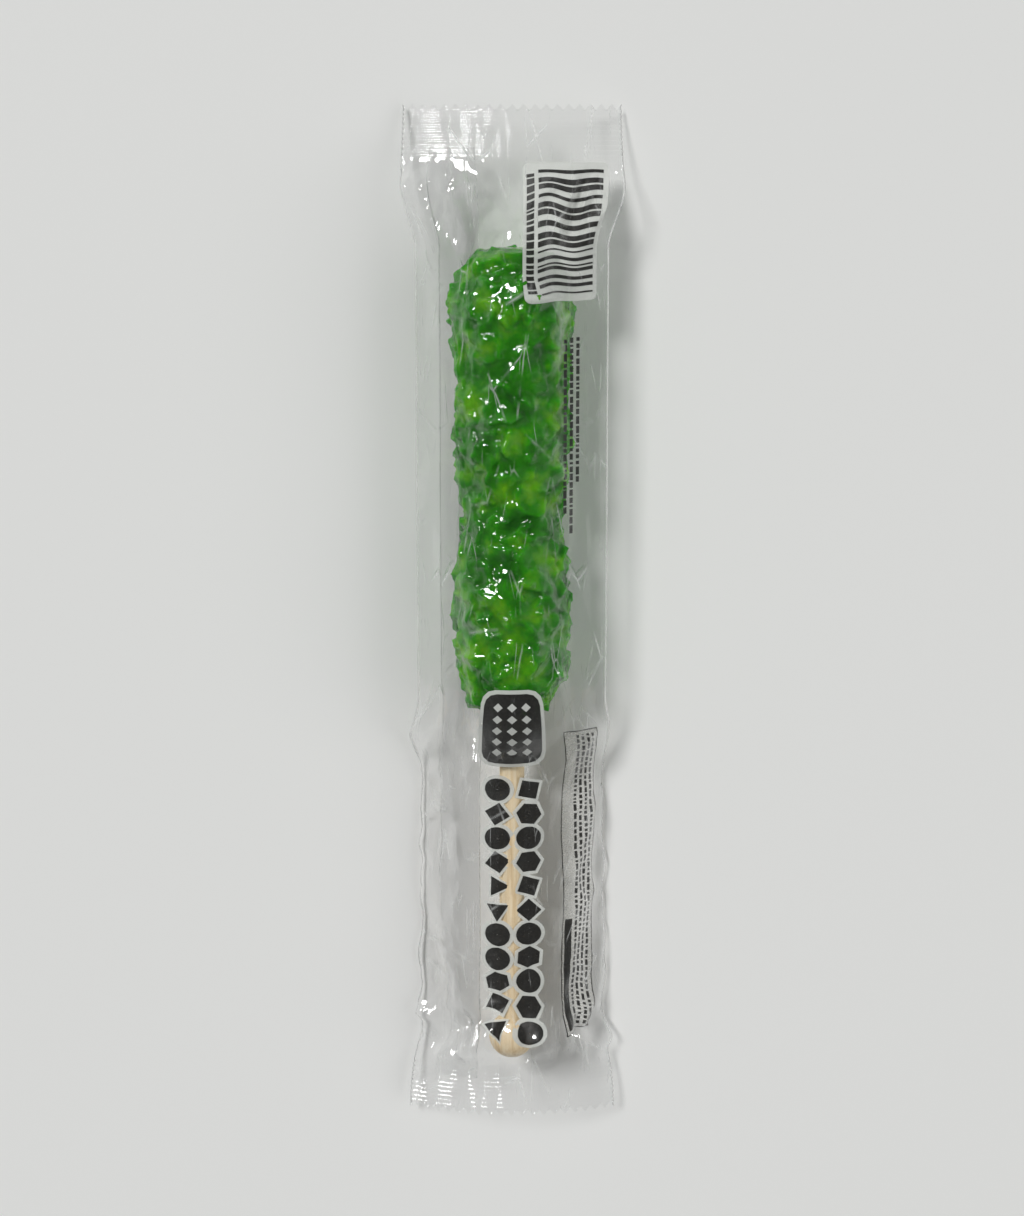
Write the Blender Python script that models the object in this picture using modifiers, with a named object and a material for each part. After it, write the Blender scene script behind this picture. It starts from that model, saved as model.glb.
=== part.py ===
"""A rock candy stick in its clear flow-wrap sleeve, lying on its side, in metres with +Z up.

A turned wooden stick with a ball at its lower end carries a mass of grown sugar crystals.
The sleeve is a flat tube of film, crimped shut at both ends and bellied out by what it holds.
The stick runs along Y, with the ball at -Y. The origin is under the middle, on the table.
"""

import math

import bmesh
import bpy
import numpy as np
from mathutils import Matrix, Vector

MM = 0.001

# Driving dimensions, in metres
SLEEVE_LENGTH = 203 * MM
FLAT_HALF = 22 * MM  # half the width of the empty sleeve, pressed flat
SEAL_BAND = 9.5 * MM  # length of the crimped band at each end
STICK_RADIUS = 2.5 * MM
BALL_RADIUS = 4.6 * MM
BALL_GAP = 3.5 * MM  # between the ball and the lower crimp
BARE_STICK = 72 * MM  # from the ball's tip to the first crystals
CANDY_LENGTH = 92 * MM
CANDY_RADIUS = 11.2 * MM
FILM_RADIUS = 12.6 * MM  # of the film where it is stretched over the candy
STICK_SHORT = 5 * MM  # how far the stick stops below the candy's tip
CLEARANCE = 0.3 * MM

# Places along the stick, and the height of its centre line
SLEEVE_END = SLEEVE_LENGTH / 2
BALL_TIP = -SLEEVE_END + SEAL_BAND + BALL_GAP
BALL_CENTRE = BALL_TIP + BALL_RADIUS
CANDY_START = BALL_TIP + BARE_STICK
CANDY_END = CANDY_START + CANDY_LENGTH
STICK_END = CANDY_END - STICK_SHORT
REST_CUT = 0.4 * MM  # how far below the mean radius the crystals underneath are flattened
AXIS_HEIGHT = CANDY_RADIUS - REST_CUT
TABLE_GAP = 0.05 * MM  # under the film where it lies on the table

# Crystals
CRYSTALS = 160
SEED = 7
CRYSTAL_SIZE = np.array([5.8, 5.0, 7.4]) * MM
UNEVEN = 0.6 * MM  # how far a crystal's tip may stand out or in
LEAN = math.radians(13.5)  # how far a sugar crystal's ends lean from square
CORE_DEPTH = 2.1 * MM  # how far the grown-together core lies below the crystals' tips


def clear_scene():
    for thing in list(bpy.data.objects):
        bpy.data.objects.remove(thing, do_unlink=True)


def collection(name):
    made = bpy.data.collections.new(name)
    bpy.context.scene.collection.children.link(made)
    return made


def material(name, colour, roughness):
    made = bpy.data.materials.new(name)
    made.use_nodes = True
    shader = made.node_tree.nodes["Principled BSDF"]
    shader.inputs["Base Color"].default_value = (*colour, 1.0)
    shader.inputs["Roughness"].default_value = roughness
    shader.inputs["Metallic"].default_value = 0.0
    return made


def mesh_object(name, bm, home, finish=None):
    mesh = bpy.data.meshes.new(name)
    bm.to_mesh(mesh)
    bm.free()
    made = bpy.data.objects.new(name, mesh)
    home.objects.link(made)
    if finish:
        mesh.materials.append(finish)
    return made


def hide_cutter(cutter):
    cutter.hide_render = True
    cutter.display_type = "WIRE"


def cut(target, cutter):
    hide_cutter(cutter)
    boolean = target.modifiers.new("cut by " + cutter.name, "BOOLEAN")
    boolean.operation = "DIFFERENCE"
    boolean.solver = "EXACT"
    boolean.object = cutter


def eased(value, low, high):
    """0 below low, 1 above high and a smooth S between them."""
    share = min(1.0, max(0.0, (value - low) / (high - low)))
    return share * share * (3 - 2 * share)


# The crystal mass: leaning prisms grown outwards from the stick, joined into one solid


def candy_radius(y):
    """How far the crystals reach from the stick at y: a lumpy rod with a blunt tip and a narrower foot."""
    along = (y - CANDY_START) / CANDY_LENGTH
    lumps = 0.6 * math.sin(9.0 * along + 0.6) + 0.45 * math.sin(21.0 * along + 2.0)
    foot = 3.6 * (1 - eased(along, 0.0, 0.12))
    tip = 3.4 * (1 - eased(1 - along, 0.0, 0.12))
    return CANDY_RADIUS + (lumps - foot - tip) * MM


def add_crystal(bm, size, turn):
    """A sugar prism about the origin: a leaning box with two opposite long edges cut off."""
    corners = bmesh.ops.create_cube(bm, size=1.0)["verts"]
    edges = {edge for corner in corners for edge in corner.link_edges}
    long_edges = [
        edge
        for edge in edges
        if abs((edge.verts[0].co - edge.verts[1].co).z) > 0.5
        and edge.verts[0].co.x * edge.verts[0].co.y > 0
    ]
    cut_off = bmesh.ops.bevel(
        bm, geom=long_edges, offset=0.24, segments=1, affect="EDGES", profile=0.5
    )
    verts = {corner for corner in corners if corner.is_valid} | set(cut_off["verts"])
    shear = Matrix.Identity(3)
    shear[2][0] = math.tan(LEAN)
    for corner in verts:
        leaned = shear @ Vector(c * s for c, s in zip(corner.co, size))
        corner.co = turn @ leaned
    return list(verts)


def turn_towards(direction, roll):
    """The rotation that takes +Z to direction, after a roll about +Z."""
    aim = Vector(direction).normalized().to_track_quat("Z", "Y").to_matrix()
    return aim @ Matrix.Rotation(roll, 3, "Z")


def seat_crystal(verts, angle, y, reach):
    """Moves a crystal out along angle until its furthest corner is reach from the stick's centre."""
    out = Vector((math.cos(angle), 0.0, math.sin(angle)))

    def furthest(distance):
        return max(
            math.hypot(v.co.x + out.x * distance, v.co.z + out.z * distance)
            for v in verts
        )

    low, high = 0.0, reach
    for _ in range(24):
        middle = (low + high) / 2
        low, high = (middle, high) if furthest(middle) < reach else (low, middle)
    for v in verts:
        v.co += out * low + Vector((0.0, y, AXIS_HEIGHT))


def grow_crystals(bm):
    """Crystals on a spiral round the stick, each leaning its own way but mostly outwards."""
    rng = np.random.default_rng(SEED)
    golden = math.pi * (3 - math.sqrt(5))
    for index in range(CRYSTALS):
        share = (index + 0.5) / CRYSTALS
        size = CRYSTAL_SIZE * rng.uniform(0.7, 1.2) * rng.uniform(0.85, 1.15, 3)
        y = CANDY_START + CANDY_LENGTH * (0.035 + 0.93 * share) + rng.uniform(-1.2, 1.2) * MM
        angle = index * golden + rng.uniform(-0.35, 0.35)
        outward = np.array([math.cos(angle), 0.0, math.sin(angle)])
        pull = 0.9 * (eased(share, 0.86, 1.0) - eased(1 - share, 0.9, 1.0))
        direction = outward + rng.normal(0, 0.45, 3) + np.array([0.0, pull, 0.0])
        verts = add_crystal(bm, size, turn_towards(direction, rng.uniform(0, math.tau)))
        reach = candy_radius(y) + rng.uniform(-UNEVEN, UNEVEN)
        low_y = min(v.co.y for v in verts)
        high_y = max(v.co.y for v in verts)
        y = min(max(y, CANDY_START - low_y), CANDY_END - high_y)
        seat_crystal(verts, angle, y, reach)


def rod(bm, radius, start, end, sides):
    """A closed round bar along Y, centred on the stick."""
    lie_down = Matrix.Rotation(-math.pi / 2, 4, "X")
    middle = Matrix.Translation((0.0, (start + end) / 2, AXIS_HEIGHT))
    bmesh.ops.create_cone(
        bm,
        cap_ends=True,
        segments=sides,
        radius1=radius,
        radius2=radius,
        depth=end - start,
        matrix=middle @ lie_down,
    )


def core_profile(points=11):
    """The profile of the solid sugar in which the crystals have grown together."""
    start, end = CANDY_START + 1.5 * MM, CANDY_END - 3 * MM
    profile = [(0.0, end)]
    for step in range(points + 1):
        y = end + (start - end) * step / points
        profile.append((candy_radius(y) - CORE_DEPTH, y))
    profile.append((0.0, start))
    return profile


def make_candy(home, helpers):
    bm = bmesh.new()
    grow_crystals(bm)
    crystals = mesh_object("crystals", bm, helpers)
    hide_cutter(crystals)

    candy = turned("candy", core_profile(), home, material("sugar", (0.045, 0.19, 0.012), 0.15), 14)
    grown = candy.modifiers.new("grown", "BOOLEAN")
    grown.operation = "UNION"
    grown.solver = "EXACT"
    grown.use_self = True
    grown.object = crystals

    bm = bmesh.new()
    rod(bm, STICK_RADIUS + CLEARANCE, CANDY_START - 10 * MM, STICK_END + CLEARANCE, 24)
    cut(candy, mesh_object("stick_hole", bm, helpers))

    bm = bmesh.new()
    under = Matrix.Translation((0.0, (CANDY_START + CANDY_END) / 2, -CANDY_RADIUS))
    flat = Matrix.Diagonal((4 * CANDY_RADIUS, 2 * CANDY_LENGTH, 2 * CANDY_RADIUS, 1.0))
    bmesh.ops.create_cube(bm, size=1.0, matrix=under @ flat)
    cut(candy, mesh_object("table_top", bm, helpers))


# The stick: one turned piece of birch, a dowel that swells into a ball


def stick_profile(clearance=0.0):
    """Radius and place along the axis, from the stick's upper end down round the ball."""
    dowel, ball = STICK_RADIUS + clearance, BALL_RADIUS + clearance
    neck = math.asin(dowel / ball)
    parting = 0.26  # the small flat where the lathe parted the ball off
    points = [(0.0, STICK_END + clearance), (dowel, STICK_END + clearance)]
    for step in range(13):
        turn = neck + (math.pi - parting - neck) * step / 12
        points.append((ball * math.sin(turn), BALL_CENTRE + ball * math.cos(turn)))
    points.append((0.0, points[-1][1]))
    return points


def turned(name, points, home, finish=None, steps=24):
    """A profile turned about its axis by a Screw, then laid along Y at the stick's height."""
    bm = bmesh.new()
    ring = [bm.verts.new((radius, 0.0, place)) for radius, place in points]
    for one, other in zip(ring, ring[1:]):
        bm.edges.new((one, other))
    made = mesh_object(name, bm, home, finish)
    screw = made.modifiers.new("turned", "SCREW")
    screw.steps = screw.render_steps = steps
    screw.use_merge_vertices = True
    screw.merge_threshold = 0.02 * MM
    screw.use_smooth_shade = True
    made.rotation_euler = (-math.pi / 2, 0.0, 0.0)
    made.location = (0.0, 0.0, AXIS_HEIGHT)
    return made


# The sleeve: film belly over the candy, flat round the bare stick, crimped at both ends


def belly(y):
    """Half the thickness of the filled sleeve on its centre line."""
    seal = 0.35 * MM
    into_candy = eased(y, CANDY_START - 14 * MM, CANDY_START + 4 * MM)
    past_candy = eased(y, CANDY_END - 2 * MM, SLEEVE_END - SEAL_BAND + 2 * MM)
    stick = seal + 1.1 * MM * eased(y, BALL_TIP - 3 * MM, BALL_TIP + 4 * MM)
    return (stick + (FILM_RADIUS - stick) * into_candy) * (1 - past_candy) + seal * past_candy


def half_width(radius):
    """Half the width of a film tube of fixed girth pulled out flat round a rod of this radius."""
    low, high = radius, FLAT_HALF
    for _ in range(40):
        width = (low + high) / 2
        girth = math.sqrt(width * width - radius * radius) + radius * math.asin(radius / width)
        low, high = (width, high) if girth < FLAT_HALF else (low, width)
    return low


def tent(across, width, radius):
    """Height of the film over a rod: round on top of it, then a straight slope down to the edge."""
    touch = radius * radius / width
    if abs(across) < touch:
        return math.sqrt(radius * radius - across * across)
    slope = radius / math.sqrt(width * width - radius * radius)
    return (width - abs(across)) * slope


def curl(y):
    """How strongly the sleeve's sides bend down, as one over the bend's radius."""
    bare = 1 - eased(y, CANDY_START - 16 * MM, CANDY_START + 8 * MM)
    lower_end = 1 - eased(-y, SLEEVE_END - SEAL_BAND - 12 * MM, SLEEVE_END)
    upper_end = eased(y, CANDY_END - 4 * MM, SLEEVE_END)
    return (bare * (0.5 + 0.5 * lower_end) + 0.45 * upper_end) / (23 * MM)


def mid_height(y):
    """Height of the sleeve's middle line: with the stick, and sagging past its two ends."""
    upper = max(0.0, y - CANDY_END) / (SLEEVE_END - CANDY_END)
    lower = max(0.0, BALL_TIP - y) / (BALL_TIP + SLEEVE_END)
    return AXIS_HEIGHT - (4.5 * upper**1.5 + 2.0 * lower) * MM


def sleeve_ring(y, lift, teeth):
    """One closed section of the sleeve: over the top from side to side, and back underneath."""
    radius = belly(y)
    width = half_width(radius)
    bend = 1 / max(curl(y), 0.001)
    edge = 0.35 * MM
    across = [-math.cos(math.pi * step / 14) * width for step in range(15)]
    points = []
    for side, places in ((1, across), (-1, across[::-1])):
        for place in places:
            index = across.index(place)
            high = side * (edge + tent(place, width, radius)) + lift
            height = mid_height(y) + (bend + high) * math.cos(place / bend) - bend
            points.append(
                (
                    (bend + high) * math.sin(place / bend),
                    y + teeth * (0.5 if index % 2 else -0.5),
                    max(height, TABLE_GAP + 0.5 * edge * (1 + side)),
                )
            )
    return points


def sleeve_stations():
    """Places along the sleeve with the crimp's lift there and the size of its cut teeth."""
    pitch = SEAL_BAND / 8
    tooth = 1.2 * MM
    crimp = 0.22 * MM
    cut_end = SLEEVE_END - tooth / 2
    band = [(cut_end - pitch * step, crimp * (-1) ** step, tooth * (step == 0)) for step in range(8)]
    lower = [(-y, lift, -teeth) for y, lift, teeth in band]
    start, end = -cut_end + pitch * 8, cut_end - pitch * 8
    middle = [(start + (end - start) * step / 35, 0.0, 0.0) for step in range(36)]
    return lower + middle + band[::-1]


def loft(bm, rings):
    """A closed skin through rings of points, with a cap at each end."""
    rows = [[bm.verts.new(point) for point in ring] for ring in rings]
    for one, other in zip(rows, rows[1:]):
        count = len(one)
        for step in range(count):
            after = (step + 1) % count
            bm.faces.new((one[step], one[after], other[after], other[step]))
    for row in (rows[0], rows[-1]):
        half = len(row) // 2
        for step in range(half - 1):
            bm.faces.new((row[step], row[step + 1], row[-2 - step], row[-1 - step]))
    bmesh.ops.recalc_face_normals(bm, faces=bm.faces)


def candy_room():
    """The profile of the room that the candy takes up in the sleeve: a tube with bevelled ends."""
    radius = FILM_RADIUS + 1.0 * MM
    bevel = 3 * MM
    start, end = CANDY_START - 1.5 * MM, CANDY_END + 1.5 * MM
    return [
        (0.0, end),
        (radius - bevel, end),
        (radius, end - bevel),
        (radius, start + bevel),
        (radius - bevel, start),
        (0.0, start),
    ]


def make_sleeve(home, helpers):
    bm = bmesh.new()
    loft(bm, [sleeve_ring(*station) for station in sleeve_stations()])
    sleeve = mesh_object("sleeve", bm, home, material("clear_film", (0.8, 0.85, 0.8), 0.1))
    cut(sleeve, turned("candy_room", candy_room(), helpers, steps=40))
    cut(sleeve, turned("stick_room", stick_profile(CLEARANCE), helpers))
    return sleeve


def main():
    clear_scene()
    home = collection("rock_candy_stick")
    helpers = collection("cutters")
    make_candy(home, helpers)
    turned("stick", stick_profile(), home, material("birch", (0.62, 0.47, 0.29), 0.6))
    make_sleeve(home, helpers)


main()
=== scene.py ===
"""The looks of a wrapped rock candy stick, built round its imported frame, in metres with +Z up."""

import math

import bpy
import numpy as np
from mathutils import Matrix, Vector


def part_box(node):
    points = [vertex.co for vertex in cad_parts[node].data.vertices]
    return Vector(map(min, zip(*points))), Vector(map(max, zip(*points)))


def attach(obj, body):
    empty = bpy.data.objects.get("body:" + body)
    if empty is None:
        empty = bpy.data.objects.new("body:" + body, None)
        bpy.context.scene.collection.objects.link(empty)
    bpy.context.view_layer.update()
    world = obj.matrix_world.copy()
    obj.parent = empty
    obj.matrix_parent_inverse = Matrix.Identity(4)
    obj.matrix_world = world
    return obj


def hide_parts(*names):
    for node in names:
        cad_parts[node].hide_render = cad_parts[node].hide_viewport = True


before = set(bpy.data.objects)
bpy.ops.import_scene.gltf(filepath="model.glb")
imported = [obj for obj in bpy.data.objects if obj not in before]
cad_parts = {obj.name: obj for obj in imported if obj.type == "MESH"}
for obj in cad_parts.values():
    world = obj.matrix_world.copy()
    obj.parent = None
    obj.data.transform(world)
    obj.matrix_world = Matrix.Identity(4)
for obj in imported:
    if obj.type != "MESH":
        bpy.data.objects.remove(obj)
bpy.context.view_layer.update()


# The stick. One piece of birch is turned on a lathe into a thin dowel with a ball at its lower end.
# The ball keeps a small flat where it was parted off. The wood is sanded and left bare.

MM = 0.001
stick_low, stick_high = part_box("stick")
AXIS = (stick_low.z + stick_high.z) / 2
BALL = (stick_high.z - stick_low.z) / 2
DOWEL = 2.5 * MM
BALL_PLACE = stick_low.y + BALL * 0.966
PARTING = 0.26  # angle of the flat at the ball's end


def skin(rows, columns, closed_across=False):
    """Corner numbers of the four-sided faces between the rows and columns of a grid of points."""
    row = np.arange(rows - 1)[:, None]
    column = np.arange(columns if closed_across else columns - 1)[None, :]
    after = (column + 1) % columns
    corners = (row * columns + column, row * columns + after)
    beyond = ((row + 1) * columns + after, (row + 1) * columns + column)
    return np.stack(corners + beyond, axis=-1).reshape(-1, 4)


def make_piece(name, points, faces, finish, slot, smooth=True):
    """A mesh object at the origin, from an array of points and its faces, which rides on the root body."""
    mesh = bpy.data.meshes.new(name)
    mesh.from_pydata(np.asarray(points).reshape(-1, 3).tolist(), [], [list(face) for face in faces])
    mesh.validate()
    if smooth:
        mesh.shade_smooth()
    mesh.materials.append(finish)
    made = bpy.data.objects.new(name, mesh)
    bpy.context.scene.collection.objects.link(made)
    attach(made, "root")
    return made


def linear(hex_colour):
    """An sRGB colour such as "#dcc6a0" as linear light, with full alpha."""
    parts = np.array([int(hex_colour[i : i + 2], 16) for i in (1, 3, 5)]) / 255
    light = np.where(parts <= 0.04045, parts / 12.92, ((parts + 0.055) / 1.055) ** 2.4)
    return (*light.tolist(), 1.0)


def new_material(name):
    """An empty node material with its output node."""
    made = bpy.data.materials.new(name)
    made.use_nodes = True
    made.node_tree.nodes.clear()
    return made.node_tree, made.node_tree.nodes.new("ShaderNodeOutputMaterial"), made


def add(tree, kind, inputs=None, **settings):
    """Adds a shader node. An input is a value, or the socket of another node that feeds it."""
    made = tree.nodes.new("ShaderNode" + kind)
    for name, value in settings.items():
        setattr(made, name, value)
    for name, value in (inputs or {}).items():
        if isinstance(value, bpy.types.NodeSocket):
            tree.links.new(value, made.inputs[name])
        else:
            made.inputs[name].default_value = value
    return made


def blend_colours(tree, amount, stops):
    """A colour ramp: stops are pairs of a place from 0 to 1 and a hex colour."""
    ramp = add(tree, "ValToRGB", {"Fac": amount})
    for index, (place, colour) in enumerate(stops):
        stop = ramp.color_ramp.elements[index] if index < 2 else ramp.color_ramp.elements.new(place)
        stop.position = place
        stop.color = linear(colour)
    return ramp.outputs["Color"]


def turned_stick(around=48, ball_rings=36):
    """Rings of a plain dowel, then of a circle's arc from the neck to the flat at the ball's end.

    The dowel's radius varies round it by 1.2 %, in a wave that winds slowly along the stick.
    """
    neck = math.asin(DOWEL / BALL)
    arc = np.linspace(neck, math.pi - PARTING, ball_rings)
    bare = np.linspace(stick_high.y - 0.3 * MM, BALL_PLACE + BALL * math.cos(neck) + 0.4 * MM, 60)
    place = np.concatenate(([stick_high.y], bare, BALL_PLACE + BALL * np.cos(arc)))
    radius = np.concatenate(([DOWEL - 0.3 * MM], np.full(60, DOWEL), BALL * np.sin(arc)))
    turn = np.linspace(math.tau, 0, around, endpoint=False)
    uneven = 1 + 0.012 * np.sin(2 * turn[None] + 40 * place[:, None] / 0.1)
    across = radius[:, None] * uneven
    y = np.broadcast_to(place[:, None], across.shape)
    return np.stack((across * np.sin(turn), y, AXIS + across * np.cos(turn)), axis=-1)


def birch():
    """Bare sanded birch: pale, matt, with fine darker fibres along it and a few flecks."""
    tree, output, made = new_material("sanded_birch")
    place = add(tree, "TexCoord").outputs["Object"]
    along = add(tree, "Mapping", {"Vector": place, "Scale": (1, 0.06, 1)}).outputs["Vector"]
    fibres = add(tree, "TexNoise", {"Vector": along, "Scale": 1 / (0.5 * MM), "Detail": 3.0})
    bands = add(tree, "TexNoise", {"Vector": along, "Scale": 1 / (2.4 * MM), "Detail": 2.0})
    mixed = add(
        tree, "Math", {0: fibres.outputs["Fac"], 1: bands.outputs["Fac"]}, operation="ADD"
    ).outputs[0]
    shade = add(tree, "MapRange", {"Value": mixed, "From Min": 0.7, "From Max": 1.3}).outputs[0]
    colour = blend_colours(tree, shade, ((0.0, "#d3b78c"), (0.5, "#e8d2ad"), (1.0, "#f2e3c6")))
    bump = add(
        tree, "Bump", {"Height": fibres.outputs["Fac"], "Strength": 0.25, "Distance": 0.1 * MM}
    )
    surface = add(
        tree,
        "BsdfPrincipled",
        {"Base Color": colour, "Roughness": 0.62, "IOR": 1.5, "Normal": bump.outputs["Normal"]},
    )
    tree.links.new(surface.outputs[0], output.inputs["Surface"])
    return made


points = turned_stick()
rings, around = points.shape[:2]
faces = skin(rings, around, closed_across=True).tolist()
faces += [list(range(around))[::-1], list(range((rings - 1) * around, rings * around))]
stick = make_piece("turned_stick", points, faces, birch(), "birch")
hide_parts("stick")


# The candy. Sugar grows out of hot syrup on the hanging stick, as hundreds of leaning prisms that
# fuse into one lumpy rod. It is dyed through, so the light that enters it comes out a deep green.
# The large crystals are those of the solid; the smaller ones that crowd between them are added.

candy_low, candy_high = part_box("candy")
SMALL_CRYSTALS = 800
GRAIN = 0.4 * MM  # finest edge that the fused mass keeps
LEAN = math.radians(13.5)
UNDER_CANDY = 0.08 * MM  # room for the film under the lowest crystals


def eased(value, start, end):
    """0 before start, 1 after end, and a smooth S between."""
    share = np.clip((value - start) / (end - start), 0, 1)
    return share * share * (3 - 2 * share)


def solid_candy():
    """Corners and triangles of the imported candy, its loose triangles joined at their corners."""
    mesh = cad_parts["candy"].data
    loose = np.empty(len(mesh.vertices) * 3)
    mesh.vertices.foreach_get("co", loose)
    corners = np.empty(len(mesh.loops), int)
    mesh.loops.foreach_get("vertex_index", corners)
    places, joined = np.unique(loose.reshape(-1, 3).round(7), axis=0, return_inverse=True)
    return places, joined.reshape(-1)[corners].reshape(-1, 3)


def crystals(places, aims, sizes, rng):
    """Leaning prisms, each a box with two opposite long edges cut off, aimed along its own direction.

    A corner is place + x across + y sideways + (z + x tan(lean)) along, by the crystal's own size.
    """
    outline = np.array(
        [(0.5, -0.5), (0.5, 0.24), (0.24, 0.5), (-0.5, 0.5), (-0.5, -0.24), (-0.24, -0.5)]
    )
    ends = [np.column_stack((outline, np.full(6, end))) for end in (-0.5, 0.5)]
    shape = np.concatenate(ends)
    along = aims / np.linalg.norm(aims, axis=1, keepdims=True)
    across = np.cross(along, rng.normal(size=aims.shape))
    across /= np.linalg.norm(across, axis=1, keepdims=True)
    sideways = np.cross(along, across)
    x, y, z = (shape[None, :, k] * sizes[:, k, None] for k in range(3))
    z = z + x * math.tan(LEAN)
    points = (
        places[:, None]
        + x[..., None] * across[:, None]
        + y[..., None] * sideways[:, None]
        + z[..., None] * along[:, None]
    )
    ring = np.arange(6)
    sides = np.column_stack((ring, (ring + 1) % 6, (ring + 1) % 6 + 6, ring + 6))
    first = 12 * np.arange(len(places))[:, None]
    faces = [list(side) for side in (sides[None] + first[..., None]).reshape(-1, 4)]
    faces += [list(cap) for cap in ring[::-1][None] + first]
    faces += [list(cap) for cap in ring[None] + 6 + first]
    return points.reshape(-1, 3), faces


def candy_radius(along, turn=0.0):
    """Radius of the fused mass between the crystals' tips, by its share along the candy from 0 to 1.

    It is 10.4 mm with slow lumps, less 3.6 mm at the foot and 3.4 mm at the tip, eased over 12 %.
    """
    lumps = 0.6 * np.sin(9.0 * along + 0.6) + 0.45 * np.sin(21.0 * along + 2.0)
    knobs = 0.35 * np.sin(3 * turn + 14 * along) * np.sin(31 * along + turn)
    foot = 3.6 * (1 - eased(along, 0.0, 0.12))
    tip = 3.4 * (1 - eased(1 - along, 0.0, 0.12))
    return (10.4 + lumps + knobs - foot - tip) * MM


def fused_core(around=72, rings=120):
    """Rings of a lumpy rod: from the end of the stick's blind hole, out at the foot, up to the tip."""
    turn = np.linspace(math.tau, 0, around, endpoint=False)[None]
    along = np.linspace(0.015, 0.985, rings)[:, None]
    hole = DOWEL + 0.35 * MM
    outside = candy_radius(along, turn)
    radius = np.concatenate((np.full((2, around), hole), outside, outside[-1:] - 3 * MM))
    y = candy_low.y + along * (candy_high.y - candy_low.y)
    y = np.concatenate(([[stick_high.y + 0.4 * MM], [y[0, 0]]], y, y[-1:] + 0.7 * MM))
    y = np.broadcast_to(y, radius.shape)
    points = np.stack((radius * np.sin(turn), y, AXIS + radius * np.cos(turn)), axis=-1)
    rows = len(points)
    faces = skin(rows, around, closed_across=True).tolist()
    faces += [list(range(around))[::-1], list(range((rows - 1) * around, rows * around))]
    return points.reshape(-1, 3), faces


def grown_mass():
    """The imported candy, the fused core between its crystals and small crystals set into the core."""
    rng = np.random.default_rng(12)
    along, turn = rng.uniform(0.03, 0.97, SMALL_CRYSTALS), rng.uniform(0, math.tau, SMALL_CRYSTALS)
    outward = np.column_stack((np.sin(turn), np.zeros(SMALL_CRYSTALS), np.cos(turn)))
    sizes = np.array([3.6, 3.0, 3.6]) * MM * rng.uniform(0.6, 1.2, (SMALL_CRYSTALS, 1))
    sizes = sizes * rng.uniform(0.8, 1.2, (SMALL_CRYSTALS, 3))
    y = candy_low.y + along * (candy_high.y - candy_low.y)
    axis = np.column_stack((np.zeros_like(y), y, np.full_like(y, AXIS)))
    places = axis + outward * (candy_radius(along, turn) - 0.36 * sizes[:, 2])[:, None]
    small, small_faces = crystals(places, outward + rng.normal(0, 0.4, outward.shape), sizes, rng)
    small[:, 1] = np.clip(small[:, 1], candy_low.y, candy_high.y)
    small[:, 2] = np.maximum(small[:, 2], 0.0)
    points, faces = [small], list(small_faces)
    for more, more_faces in (solid_candy(), fused_core()):
        first = sum(len(part) for part in points)
        faces += [[corner + first for corner in face] for face in more_faces]
        points.append(more)
    return np.concatenate(points), faces


def rock_sugar():
    """Dyed rock sugar: glossy grown facets over a clear green that glows where light enters it.

    Each cell of two random patterns leans the surface its own way, as the fused crystals' small
    faces do, so single faces flash.
    """
    tree, output, made = new_material("dyed_rock_sugar")
    place = add(tree, "TexCoord").outputs["Object"]
    patches = add(tree, "TexNoise", {"Vector": place, "Scale": 1 / (6 * MM), "Detail": 3.0})
    colour = blend_colours(
        tree, patches.outputs["Fac"], ((0.32, "#1d7602"), (0.5, "#359c04"), (0.68, "#74c010"))
    )
    facing = add(tree, "NewGeometry").outputs["Normal"]
    for size, amount in ((2.6 * MM, 0.45), (1.1 * MM, 0.25)):
        cell = add(tree, "TexVoronoi", {"Vector": place, "Scale": 1 / size}).outputs["Color"]
        facing = add(
            tree,
            "VectorMath",
            {0: cell, 1: (amount,) * 3, 2: facing},
            operation="MULTIPLY_ADD",
        ).outputs["Vector"]
        facing = add(
            tree, "VectorMath", {0: facing, 1: (amount / 2,) * 3}, operation="SUBTRACT"
        ).outputs["Vector"]
    steps = add(tree, "TexNoise", {"Vector": place, "Scale": 1 / (0.8 * MM), "Detail": 3.0})
    bump = add(
        tree,
        "Bump",
        {
            "Height": steps.outputs["Fac"],
            "Strength": 0.15,
            "Distance": 0.15 * MM,
            "Normal": add(tree, "VectorMath", {0: facing}, operation="NORMALIZE").outputs[0],
        },
    )
    surface = add(
        tree,
        "BsdfPrincipled",
        {
            "Base Color": colour,
            "Roughness": 0.14,
            "IOR": 1.54,
            "Transmission Weight": 0.25,
            "Subsurface Weight": 1.0,
            "Subsurface Radius": (0.45, 1.0, 0.2),
            "Subsurface Scale": 4 * MM,
            "Normal": bump.outputs["Normal"],
        },
    )
    tree.links.new(surface.outputs[0], output.inputs["Surface"])
    return made


candy = make_piece("grown_sugar", *grown_mass(), rock_sugar(), "sugar")
fused = candy.modifiers.new("fused", "REMESH")
fused.mode = "VOXEL"
fused.voxel_size = GRAIN
fused.use_smooth_shade = True
worn = candy.modifiers.new("worn", "SMOOTH")
worn.factor = 0.5
worn.iterations = 3
graph = bpy.context.evaluated_depsgraph_get()
grown = bpy.data.meshes.new_from_object(candy.evaluated_get(graph))
candy.modifiers.clear()
candy.data = grown
corners = np.empty(len(grown.vertices) * 3)
grown.vertices.foreach_get("co", corners)
corners = corners.reshape(-1, 3)
corners[:, 2] = np.maximum(corners[:, 2], UNDER_CANDY)
grown.vertices.foreach_set("co", corners.ravel())
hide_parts("candy")


# The film. A flow-wrap machine folds one web of clear film, 0.03 mm thick, into a tube round the
# stick, presses it flat past both ends and crimps and cuts it there. It is stretched over the
# crystals' tips, tents over the bare stick and the ball, and its pressed sides droop to the table.

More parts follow.
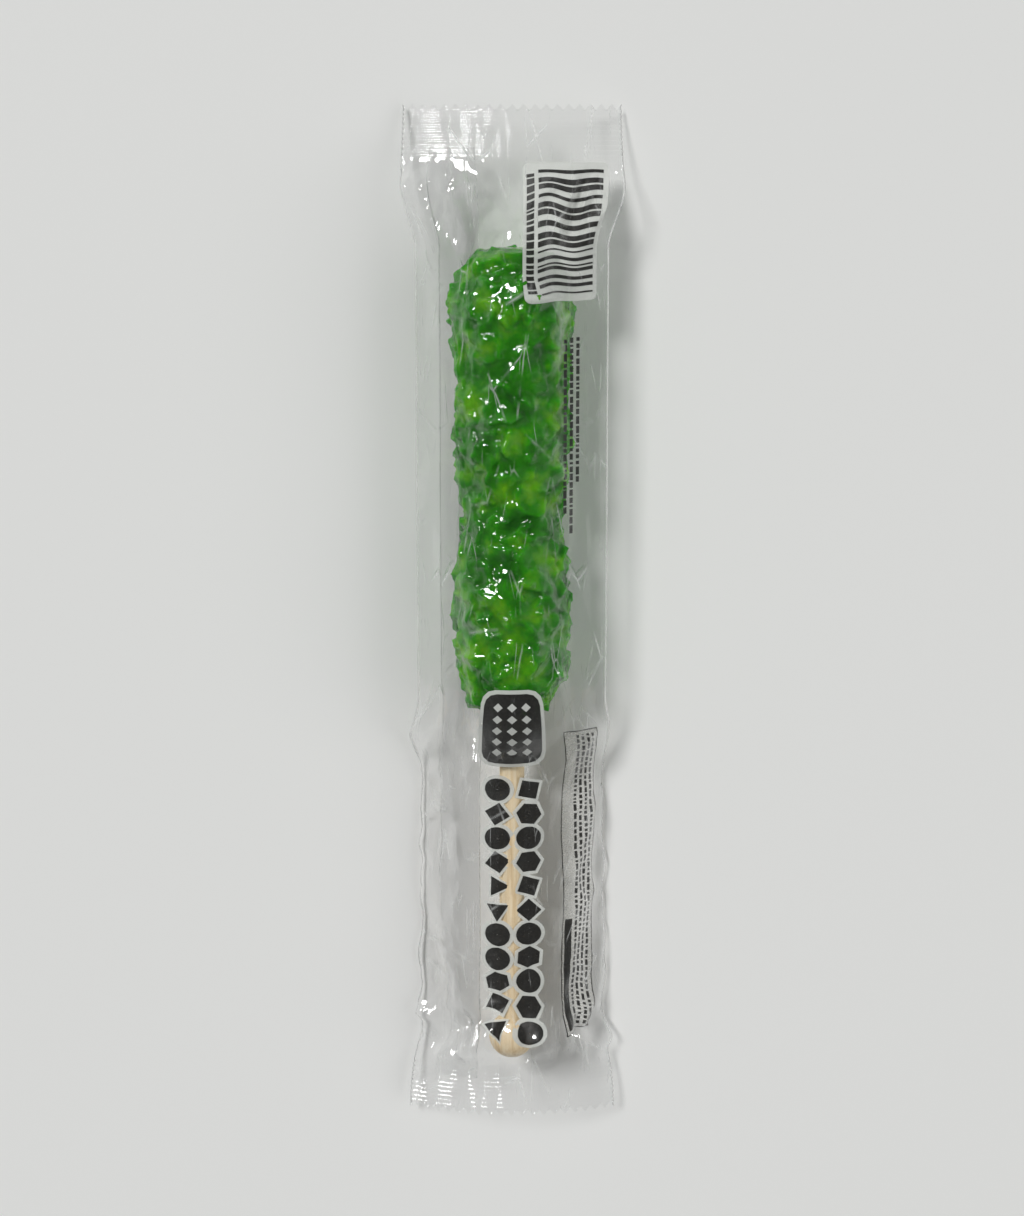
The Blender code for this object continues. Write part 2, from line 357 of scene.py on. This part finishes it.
sleeve_low, sleeve_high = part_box("sleeve")
END = sleeve_high.y
FLAT_HALF = 22 * MM  # half the flat width of the sleeve
SEAL = 9.5 * MM  # length of each crimped band
RIB = 0.95 * MM  # spacing of the crimp's ribs
AIR = 0.12 * MM  # between the film and what it lies against
TABLE_GAP = 0.02 * MM
CANDY_FILM = 10.9 * MM  # radius of the film over the candy, between the crystals' tips
COLUMNS = 81  # points across one side of the film, so that a cut tooth takes four of them


def film_stations():
    """Places along the film: close together over each crimp's ribs, and wider apart between."""
    band = np.arange(0, SEAL + RIB / 8, RIB / 4)
    middle = np.linspace(-END + band[-1], END - band[-1], 300)
    return np.concatenate((-END + band, middle[1:-1], (END - band)[::-1]))


def stretched_radius(y):
    """Radius of the film's round top at y: the candy, the bare stick or the ball under it."""
    dowel = DOWEL + AIR
    over_ball = (BALL - DOWEL) * np.exp(-(((y - BALL_PLACE) / (5 * MM)) ** 2))
    over_candy = (CANDY_FILM - dowel) * eased(y, candy_low.y - 16 * MM, candy_low.y + 3 * MM)
    ends = eased(y, -END + SEAL - 1 * MM, BALL_PLACE - 1 * MM)
    ends = ends * (1 - eased(y, candy_high.y - 1 * MM, END - SEAL + 1 * MM))
    return AIR + (dowel + over_ball + over_candy - AIR) * ends


def tent_width(radius):
    """Half the width of a flat tube of fixed girth that is pulled out sideways round a rod."""
    low, high = radius.copy(), np.full_like(radius, FLAT_HALF)
    for _ in range(40):
        width = (low + high) / 2
        girth = np.sqrt(width**2 - radius**2) + radius * np.arcsin(radius / width)
        low, high = np.where(girth < FLAT_HALF, width, low), np.where(girth < FLAT_HALF, high, width)
    return low


def tent(reach, radius, width):
    """Sideways place and height of the film, by the distance walked along it from its middle.

    It is an arc of the rod's circle as far as the tangent that runs to the side fold, then straight.
    """
    turn = np.arcsin(radius / width)
    arc = radius * turn
    distance = np.abs(reach)
    on_arc = np.minimum(distance, arc) / radius
    past = np.maximum(distance - arc, 0)
    sideways = radius * np.sin(on_arc) + past * np.cos(turn)
    height = radius * np.cos(on_arc) - past * np.sin(turn)
    return np.sign(reach) * sideways, height


def waves(u, v, size, seed):
    """Smooth random hills between about -1 and 1, as a sum of sine waves in random directions."""
    rng = np.random.default_rng(seed)
    total = 0
    for _ in range(6):
        turn, phase = rng.uniform(0, math.tau, 2)
        length = size * rng.uniform(0.7, 1.5)
        total = total + np.sin((u * math.cos(turn) + v * math.sin(turn)) * math.tau / length + phase)
    return total / 3


def creases(u, v, sizes, seed, spread):
    """Flat facets with sharp creases: a sum of zigzags, each in its own direction and patches.

    The zigzag |t - round(t)| runs across the film, give or take the spread, so most creases run
    along it. Hills of random noise bend it a little and fade it in and out.
    """
    rng = np.random.default_rng(seed)
    total = 0
    for size in sizes:
        turn = rng.uniform(-spread, spread)
        bend = 0.35 * waves(u, v, size * 3, rng.integers(1000))
        t = (u * math.cos(turn) + v * math.sin(turn)) / size + rng.uniform() + bend
        patch = np.clip(0.5 + waves(u, v, size * 2.5, rng.integers(1000)), 0, 1)
        total = total + patch * size * (np.abs(t - np.round(t)) - 0.25)
    return total


def shape_of_film():
    """Both sides of the film as grids of points, walked from its left fold to its right one."""
    y = film_stations()[:, None]
    reach = np.linspace(-FLAT_HALF, FLAT_HALF, COLUMNS)[None, :]
    radius = stretched_radius(y)
    sideways, height = tent(reach, radius, tent_width(radius))
    from_end = END - np.abs(y)
    crimp = 1 - eased(from_end, SEAL - 0.5 * MM, SEAL + 0.5 * MM)
    ribs = crimp * 0.16 * MM * np.cos(math.tau * from_end / RIB)
    teeth = np.sign(y) * 0.6 * MM * (4 * np.abs((np.arange(COLUMNS) / 4) % 1 - 0.5) - 1)
    teeth = teeth * (1 - eased(from_end, 0.2 * MM, 0.6 * MM))

    held = eased(y, candy_low.y - 6 * MM, candy_low.y + 4 * MM)
    held = held * (1 - eased(y, candy_high.y - 4 * MM, candy_high.y + 2 * MM))
    loose = (1 - crimp) * eased(from_end, SEAL, SEAL + 5 * MM)
    wing = eased(np.abs(reach), 5 * MM, 12 * MM)
    crumple = creases(reach, y, [4 * MM, 6 * MM, 9 * MM, 13 * MM, 19 * MM], 3, 0.7)
    fine = creases(reach, y, [2.2 * MM, 3 * MM, 4.5 * MM], 8, 1.4)
    near_end = np.exp(-(((from_end - SEAL - 8 * MM) / (7 * MM)) ** 2))
    shared = loose * (0.10 + 0.12 * wing + 0.3 * near_end) * (1 - 0.8 * held) * crumple
    pulled = loose * np.exp(-(((from_end - SEAL - 12 * MM) / (12 * MM)) ** 2))
    pulled = pulled * 0.75 * MM * waves(reach, 0.45 * y, 8 * MM, 17)
    pleats = np.exp(-(((from_end - SEAL - 5 * MM) / (4 * MM)) ** 2)) * (1 - crimp)
    pleats = pleats * 0.5 * MM * np.abs(np.sin(reach / (3.1 * MM) + 2 * np.sin(reach / (8 * MM))))

    bare = 1 - eased(y, candy_low.y - 16 * MM, candy_low.y + 8 * MM)
    lower = eased(-y, END - SEAL - 12 * MM, END)
    upper = eased(y, candy_high.y - 4 * MM, END)
    curl = (bare * (1 - 0.5 * lower) + 0.45 * upper) / (23 * MM) + 1 / 1.0
    past_candy = np.maximum(0, y - candy_high.y) / (END - candy_high.y)
    past_ball = np.maximum(0, stick_low.y - y) / (stick_low.y + END)
    middle = AXIS - (4.5 * past_candy**1.5 + 2.0 * past_ball) * MM

    sides = []
    for side in (1, -1):
        own = loose * (0.03 + 0.05 * (1 - held) + 0.07 * near_end) * (fine if side > 0 else fine[:, ::-1])
        own = own * (1 - 0.8 * eased(np.abs(reach), FLAT_HALF - 3 * MM, FLAT_HALF))
        gap = np.minimum(1, (FLAT_HALF - np.abs(reach)) / (3 * MM))
        high = side * (height + gap * (np.abs(own) + pleats)) + shared + ribs
        x = (1 / curl + high) * np.sin(sideways * curl)
        z = middle + (1 / curl + high) * np.cos(sideways * curl) - 1 / curl
        sides.append(np.stack(np.broadcast_arrays(x, y + teeth + pulled, z), axis=-1))
    return sides


def crystal_reach(points, step=0.6 * MM, around=120, margin=20 * MM):
    """Distance from the stick's middle to the film held up by the candy, by angle and place.

    Each crystal's tip holds the film up like a tent pole, and the film falls away from it by 0.3
    round the candy and by 0.7 along it. Every cell takes its neighbours' heights less one step down.
    """
    start = candy_low.y - margin
    rows = int((candy_high.y + margin - start) / step)
    radius = np.hypot(corners[:, 0], corners[:, 2] - AXIS)
    angle = np.arctan2(corners[:, 0], corners[:, 2] - AXIS) / math.tau * around
    row = ((corners[:, 1] - start) / step).astype(int)
    reach = np.zeros((rows, around))
    np.maximum.at(reach, (row, np.round(angle).astype(int) % around), radius)
    for _ in range(int(margin / step)):
        beside = np.maximum(np.roll(reach, 1, 1), np.roll(reach, -1, 1)) - 0.3 * step
        before = np.maximum(np.roll(reach, 1, 0), np.roll(reach, -1, 0)) - 0.7 * step
        reach = np.maximum(reach, np.maximum(beside, before))
    row = np.clip((points[..., 1] - start) / step, 0, rows - 1.01)
    angle = np.arctan2(points[..., 0], points[..., 2] - AXIS) / math.tau * around
    low_row, low_angle = np.floor(row).astype(int), np.floor(angle).astype(int)
    part, turn = row - low_row, angle - low_angle
    near = reach[low_row, low_angle % around] * (1 - turn)
    near = near + reach[low_row, (low_angle + 1) % around] * turn
    far = reach[low_row + 1, low_angle % around] * (1 - turn)
    far = far + reach[low_row + 1, (low_angle + 1) % around] * turn
    return near * (1 - part) + far * part


def settle(points, table):
    """Lifts the film off the crystals, the stick and the table wherever it would cut into them."""
    out = np.stack((points[..., 0], points[..., 2] - AXIS), axis=-1)
    distance = np.maximum(np.linalg.norm(out, axis=-1), 0.01 * MM)
    needed = crystal_reach(points) + AIR
    below_ball = np.clip(points[..., 1] - BALL_PLACE, -BALL, BALL)
    needed = np.maximum(needed, np.sqrt(BALL**2 - below_ball**2) + AIR * (np.abs(below_ball) < BALL))
    push = np.maximum(1, needed / distance)
    lifted = points.copy()
    lifted[..., 0] = out[..., 0] * push
    lifted[..., 2] = AXIS + out[..., 1] * push
    lifted[..., 2] = np.maximum(lifted[..., 2], table)
    return lifted


def clear_film():
    """Clear polypropylene: sharp glints, a trace of haze, and straight creases where it crumpled.

    A crease is the border between two cells of a random pattern that is stretched lengthwise. The
    film bends sharply there and is whitened a little, and more so in its two side folds: partly the
    film's own whitening, and partly a painted highlight that stands in for the glints along them.
    """
    tree, output, made = new_material("clear_polypropylene_film")
    place = add(tree, "Attribute", attribute_name="on_web").outputs["Vector"]
    height, border = 0.0, 1.0
    for size, stretch in ((4 * MM, 0.22), (9 * MM, 0.4)):
        along = add(tree, "Mapping", {"Vector": place, "Scale": (1, stretch, 1)}).outputs["Vector"]
        cells = {"Vector": along, "Scale": 1 / size}
        cone = add(tree, "TexVoronoi", cells, voronoi_dimensions="2D").outputs["Distance"]
        edge = add(tree, "TexVoronoi", cells, voronoi_dimensions="2D", feature="DISTANCE_TO_EDGE")
        edge = edge.outputs["Distance"]
        height = add(
            tree, "Math", {0: cone, 1: size / MM, 2: height}, operation="MULTIPLY_ADD"
        ).outputs[0]
        border = add(tree, "Math", {0: edge, 1: border}, operation="MINIMUM").outputs[0]
    bump = add(tree, "Bump", {"Height": height, "Strength": 0.45, "Distance": 0.25 * MM})
    bump = bump.outputs["Normal"]
    patches = add(tree, "TexNoise", {"Vector": place, "Scale": 1 / (7 * MM)}).outputs["Fac"]
    patches = add(
        tree, "MapRange", {"Value": patches, "From Min": 0.5, "From Max": 0.65, "To Max": 0.35}
    ).outputs[0]
    # painted highlight: white diffuse haze along the creases and the two side folds, partly the film's own
    # whitening and partly standing in for the glints that run along them
    line = add(tree, "MapRange", {"Value": border, "From Max": 0.025, "To Min": 1.0, "To Max": 0.0})
    crease_whitening_and_glint = add(tree, "Math", {0: line.outputs[0], 1: patches}, operation="MULTIPLY").outputs[0]
    across = add(tree, "SeparateXYZ", {0: place}).outputs["X"]
    across = add(tree, "Math", {0: across}, operation="ABSOLUTE").outputs[0]
    fold_whitening_and_glint = add(
        tree,
        "MapRange",
        {"Value": across, "From Min": 21.5 * MM, "From Max": 21.8 * MM, "To Max": 0.5},
    ).outputs[0]
    white = add(tree, "Math", {0: crease_whitening_and_glint, 1: fold_whitening_and_glint}, operation="MAXIMUM").outputs[0]

    clear = add(tree, "BsdfTransparent", {"Color": linear("#ffffff")})
    haze = add(tree, "BsdfDiffuse", {"Color": linear("#f6f8f6")})
    gloss = add(tree, "BsdfGlossy", {"Color": linear("#ffffff"), "Roughness": 0.05, "Normal": bump})
    facing = add(tree, "LayerWeight", {"Blend": 0.5, "Normal": bump}).outputs["Facing"]
    edge = add(tree, "Math", {0: facing, 1: 4.0}, operation="POWER").outputs[0]
    haze_and_glint_lines = add(tree, "Math", {0: edge, 1: 0.2, 2: 0.004}, operation="MULTIPLY_ADD").outputs[0]
    haze_and_glint_lines = add(tree, "Math", {0: haze_and_glint_lines, 1: white}, operation="ADD").outputs[0]
    body = add(tree, "MixShader", {0: haze_and_glint_lines, 1: clear.outputs[0], 2: haze.outputs[0]})
    shine = add(tree, "Math", {0: edge, 1: 0.7, 2: 0.05}, operation="MULTIPLY_ADD").outputs[0]
    surface = add(tree, "MixShader", {0: shine, 1: body.outputs[0], 2: gloss.outputs[0]})
    tree.links.new(surface.outputs[0], output.inputs["Surface"])
    return made


def flat_tube(name, above, below, reach, finish):
    """A closed flat tube from the grids of its two sides, which keeps each point's place on the web."""
    rows, columns = above.shape[:2]
    points = np.concatenate((above, below[:, -2:0:-1]), axis=1)
    total = points.shape[1]
    top = np.arange(columns - 1)
    bottom = (total - top) % total
    end = np.stack((top, bottom, np.append(bottom[1:], columns - 1), top + 1), axis=-1)
    sides = skin(rows, total, closed_across=True)
    faces = np.concatenate((sides, end, end[:, ::-1] + (rows - 1) * total))
    faces = [list(dict.fromkeys(face)) for face in faces.tolist()]
    made = make_piece(name, points, faces, finish, "film")
    walked = np.concatenate((reach, reach[-2:0:-1]))[None]
    web = np.stack(np.broadcast_arrays(walked, points[..., 1], 0.0), axis=-1)
    on_web = made.data.attributes.new("on_web", "FLOAT_VECTOR", "POINT")
    on_web.data.foreach_set("vector", web.ravel())
    return made


reach = np.linspace(-FLAT_HALF, FLAT_HALF, COLUMNS)
under_fin = np.clip((6 * MM - np.abs(reach + 11.75 * MM)) / MM, 0, 1) * 0.25 * MM
upper_side, lower_side = shape_of_film()
upper_side = settle(upper_side, TABLE_GAP)
lower_side = settle(lower_side, TABLE_GAP + under_fin)
polypropylene = clear_film()
film = flat_tube("film_sleeve", upper_side, lower_side, reach, polypropylene)
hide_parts("sleeve")

# the fin, in which the web's two long edges are welded with fine ribs, is folded flat underneath
fin_rows = np.flatnonzero(np.abs(film_stations()) < END - SEAL + 2 * MM)
fin_columns = np.flatnonzero(np.abs(reach + 11.75 * MM) < 5 * MM)
outward = np.cross(np.gradient(lower_side, axis=0), np.gradient(lower_side, axis=1))
outward /= np.linalg.norm(outward, axis=-1, keepdims=True)
ribs = 0.03 * MM * np.cos(math.tau * lower_side[..., 1:2] / (0.9 * MM) * 0.5)
layers = []
for depth in (0.08 * MM, 0.18 * MM):
    layer = lower_side + outward * (depth + ribs)
    layer[..., 2] = np.maximum(layer[..., 2], 0.26 * MM - depth)
    layers.append(layer[np.ix_(fin_rows, fin_columns)])
flat_tube("film_fin", *layers, reach[fin_columns], polypropylene)


# The print. Black and white inks are printed on the inner face of the film before it is wrapped,
# the white behind the black, so both are seen through the film and bend with it.

BLACK_DEPTH = 0.02 * MM  # under the film's outer face
WHITE_DEPTH = 0.09 * MM
PRINT_CELL = 0.3 * MM
stations = film_stations()
sideways_step = np.gradient(upper_side, axis=1)
normals = np.cross(sideways_step, np.gradient(upper_side, stations, axis=0))
normals /= np.linalg.norm(normals, axis=-1, keepdims=True)


def on_film(reach, y, inward):
    """Points a little inside the film's upper side, between the grid's own points in proportion."""
    row = np.interp(y, stations, np.arange(len(stations)))
    column = (reach + FLAT_HALF) / (2 * FLAT_HALF) * (COLUMNS - 1)
    low = np.minimum(row.astype(int), len(stations) - 2)
    left = np.minimum(column.astype(int), COLUMNS - 2)
    up, right = (row - low)[..., None], (column - left)[..., None]
    inside = upper_side - normals * inward
    near = inside[low, left] * (1 - right) + inside[low, left + 1] * right
    far = inside[low + 1, left] * (1 - right) + inside[low + 1, left + 1] * right
    return near * (1 - up) + far * up


def patch(left, right, low, high, corner=0.0, lean=0.0):
    """A printed rectangle as a grid of (reach, y), with rounded corners and leaning sides.

    At a distance d from an end, less than the corner's radius c, the rectangle is narrower on each
    side by c - sqrt(c^2 - (c - d)^2).
    """
    middle = np.linspace(low + corner, high - corner, max(2, round((high - low) / PRINT_CELL)))
    arc = corner * (1 - np.cos(np.linspace(0, math.pi / 2, 4)))[:-1] if corner else np.array([])
    y = np.concatenate((low + arc, middle, high - arc[::-1]))
    from_end = np.minimum(np.minimum(y - low, high - y), corner)
    narrower = corner - np.sqrt(np.maximum(corner**2 - (corner - from_end) ** 2, 0))
    across = np.linspace(-1, 1, max(2, round((right - left) / PRINT_CELL) + 1))
    reach = (left + right) / 2 + across[None] * ((right - left) / 2 - narrower)[:, None]
    y = y[:, None] + lean * (reach - (left + right) / 2)
    return reach, y


def emblem(reach, y, half, corners, turn):
    """A regular shape as a grid of rings: its radius is cos(b) / cos(a mod 2b - b), b = pi / corners."""
    angle = np.linspace(math.tau, 0, 13 if half < MM else 37)
    half_corner = math.pi / corners
    radius = half * math.cos(half_corner) / np.cos(angle % (2 * half_corner) - half_corner)
    ring = np.linspace(0.02, 1, max(3, round(half / PRINT_CELL)))[:, None]
    return reach + ring * radius * np.cos(angle + turn), y + ring * radius * np.sin(angle + turn)


def print_piece(name, patches, inward, finish):
    """One sheet of ink made of all the patches of one colour."""
    points, faces, count = [], [], 0
    for reach, y in patches:
        points.append(on_film(reach, y, inward).reshape(-1, 3))
        faces.append(skin(*reach.shape) + count)
        count += reach.size
    return make_piece(name, np.concatenate(points), np.concatenate(faces), finish, "film")


def ink(name, colour, cover, wear):
    """Flexographic ink: nearly flat colour that mottles a little and lets some light through."""
    tree, output, made = new_material(name)
    place = add(tree, "TexCoord").outputs["Object"]
    mottle = add(tree, "TexNoise", {"Vector": place, "Scale": 1 / (0.6 * MM), "Detail": 3.0})
    shade = blend_colours(tree, mottle.outputs["Fac"], ((0.3, colour), (0.7, wear)))
    solid = add(tree, "BsdfPrincipled", {"Base Color": shade, "Roughness": 0.45})
    hidden = add(
        tree,
        "MapRange",
        {"Value": mottle.outputs["Fac"], "From Min": 0.3, "From Max": 0.6, "To Min": cover - 0.1, "To Max": cover},
    )
    through = add(tree, "BsdfTransparent")
    surface = add(
        tree, "MixShader", {0: hidden.outputs[0], 1: through.outputs[0], 2: solid.outputs[0]}
    )
    tree.links.new(surface.outputs[0], output.inputs["Surface"])
    return made


def dashes(rng, left, right, low, high, longest):
    """A row of small marks for a line of small print, with gaps between its words."""
    marks, y = [], low
    while y < high:
        length = rng.uniform(0.25, 1) * longest
        marks.append(patch(left, right, y, min(y + length, high)))
        y += length + rng.uniform(0.25, 0.5) * MM
    return marks


rng = np.random.default_rng(21)
black, white, light, thin = [], [], [], []

# a scannable code's bars, 0.33 mm and up to four times that wide, with its white panel
white.append(patch(2 * MM, 19 * MM, 65 * MM, 91 * MM, corner=1.2 * MM))
bar = 66.5 * MM
while bar < 89 * MM:
    width = 0.33 * MM * rng.integers(1, 4)
    black.append(patch(5 * MM, 18 * MM, bar, bar + width))
    bar += width + 0.33 * MM * rng.integers(1, 4)
black += dashes(rng, 2.7 * MM, 4.2 * MM, 67 * MM, 89 * MM, 1.4 * MM)

# lines of small print beside the candy
for line, (start, stop) in enumerate(((24, 58), (20, 58), (30, 58))):
    middle = (11.5 + 1.5 * line) * MM
    black += dashes(rng, middle - 0.4 * MM, middle + 0.4 * MM, start * MM, stop * MM, 1.6 * MM)

# a label field with cut corners and a pattern of lozenges, near the candy's lower end
white.append(patch(-6.2 * MM, 6.2 * MM, -27 * MM, -10 * MM, corner=3 * MM))
black.append(patch(-5.4 * MM, 5.4 * MM, -26.2 * MM, -10.8 * MM, corner=2.5 * MM))
for place in np.arange(-23.5, -12, 2.5):
    for middle in (-2.6, 0, 2.6):
        light.append(emblem(middle * MM, place * MM, 0.9 * MM, 4, 0.0))

# two rows of bold emblems with white edges along the bare stick
for middle in (-2.7 * MM, 3.1 * MM):
    y = -82 * MM
    while y < -31 * MM:
        corners = rng.choice([3, 4, 6, 24])
        turn = rng.uniform(0, math.tau)
        half = 2.35 * MM
        white.append(emblem(middle, y, half + 0.75 * MM, corners, turn))
        black.append(emblem(middle, y, half, corners, turn))
        y += 5.0 * MM

# a ruled box of small print at the right
for left, right, low, high in (
    (10, 18, -84, -83.8), (10, 18, -20.2, -20), (10, 10.2, -84, -20), (17.8, 18, -84, -20),
):
    black.append(patch(left * MM, right * MM, low * MM, high * MM))
thin.append(patch(10 * MM, 18 * MM, -84 * MM, -20 * MM))
black.append(patch(10.6 * MM, 12 * MM, -83 * MM, -60 * MM))
for line in range(4):
    middle = (13 + 1.2 * line) * MM
    black += dashes(rng, middle - 0.3 * MM, middle + 0.3 * MM, -83 * MM, -21 * MM, 1.4 * MM)

white_ink = ink("white_film_ink", "#e6e8e3", 0.82, "#d8dad4")
print_piece("white_print", white, WHITE_DEPTH, white_ink)
print_piece("black_print", black, BLACK_DEPTH, ink("black_film_ink", "#1a1816", 0.97, "#2b2926"))
print_piece("lozenge_print", light, 0.005 * MM, white_ink)
print_piece("field_print", thin, WHITE_DEPTH, ink("thin_white_ink", "#d6d4cd", 0.4, "#c4c3bb"))


# The studio: a plain pale table, soft lights, and a camera that looks down on the lying stick.

floor_material_tree, floor_output, paper = new_material("pale_table")
table = add(floor_material_tree, "BsdfPrincipled", {"Base Color": linear("#eeeeec"), "Roughness": 0.7})
floor_material_tree.links.new(table.outputs[0], floor_output.inputs["Surface"])
bpy.ops.mesh.primitive_plane_add(size=4)
floor = bpy.context.object
floor.name = "table"
floor.data.materials.append(paper)


def soft_light(name, place, width, strength, mirrored):
    """A far broad lamp in the direction of the place, with its width as an angle in degrees.

    Where it is not mirrored, it lights the surfaces but glossy ones show no reflection of it.
    """
    lamp = bpy.data.lights.new(name, "SUN")
    lamp.angle = math.radians(width)
    lamp.energy = strength
    made = bpy.data.objects.new(name, lamp)
    made.location = place
    made.rotation_euler = Vector(place).to_track_quat("Z", "Y").to_euler()
    made.visible_glossy = mirrored
    bpy.context.scene.collection.objects.link(made)


soft_light("key", (-0.45, 0.5, 0.75), 15, 2.1, mirrored=True)
soft_light("fill", (0.7, -0.1, 0.6), 45, 1.1, mirrored=False)
world = bpy.data.worlds.new("studio")
world.use_nodes = True
sky = world.node_tree
upward = add(sky, "SeparateXYZ", {0: add(sky, "TexCoord").outputs["Generated"]}).outputs["Z"]
walls = blend_colours(sky, upward, ((0.0, "#a4a7a7"), (0.9, "#343737"), (0.2, "#6c6f6f")))
sky.links.new(walls, sky.nodes["Background"].inputs["Color"])
bpy.context.scene.world = world
bpy.context.scene.view_settings.view_transform = "Standard"

TILT = math.radians(10.4)  # how far the camera leans towards the ball
DISTANCE = 505 * MM
camera_data = bpy.data.cameras.new("camera")
camera_data.lens = 77
camera_data.sensor_width = 36
camera = bpy.data.objects.new("camera", camera_data)
camera.location = (0.0, 97 * MM, AXIS + DISTANCE)
camera.rotation_euler = (-TILT, 0.0, 0.0)
bpy.context.scene.collection.objects.link(camera)
bpy.context.scene.camera = camera
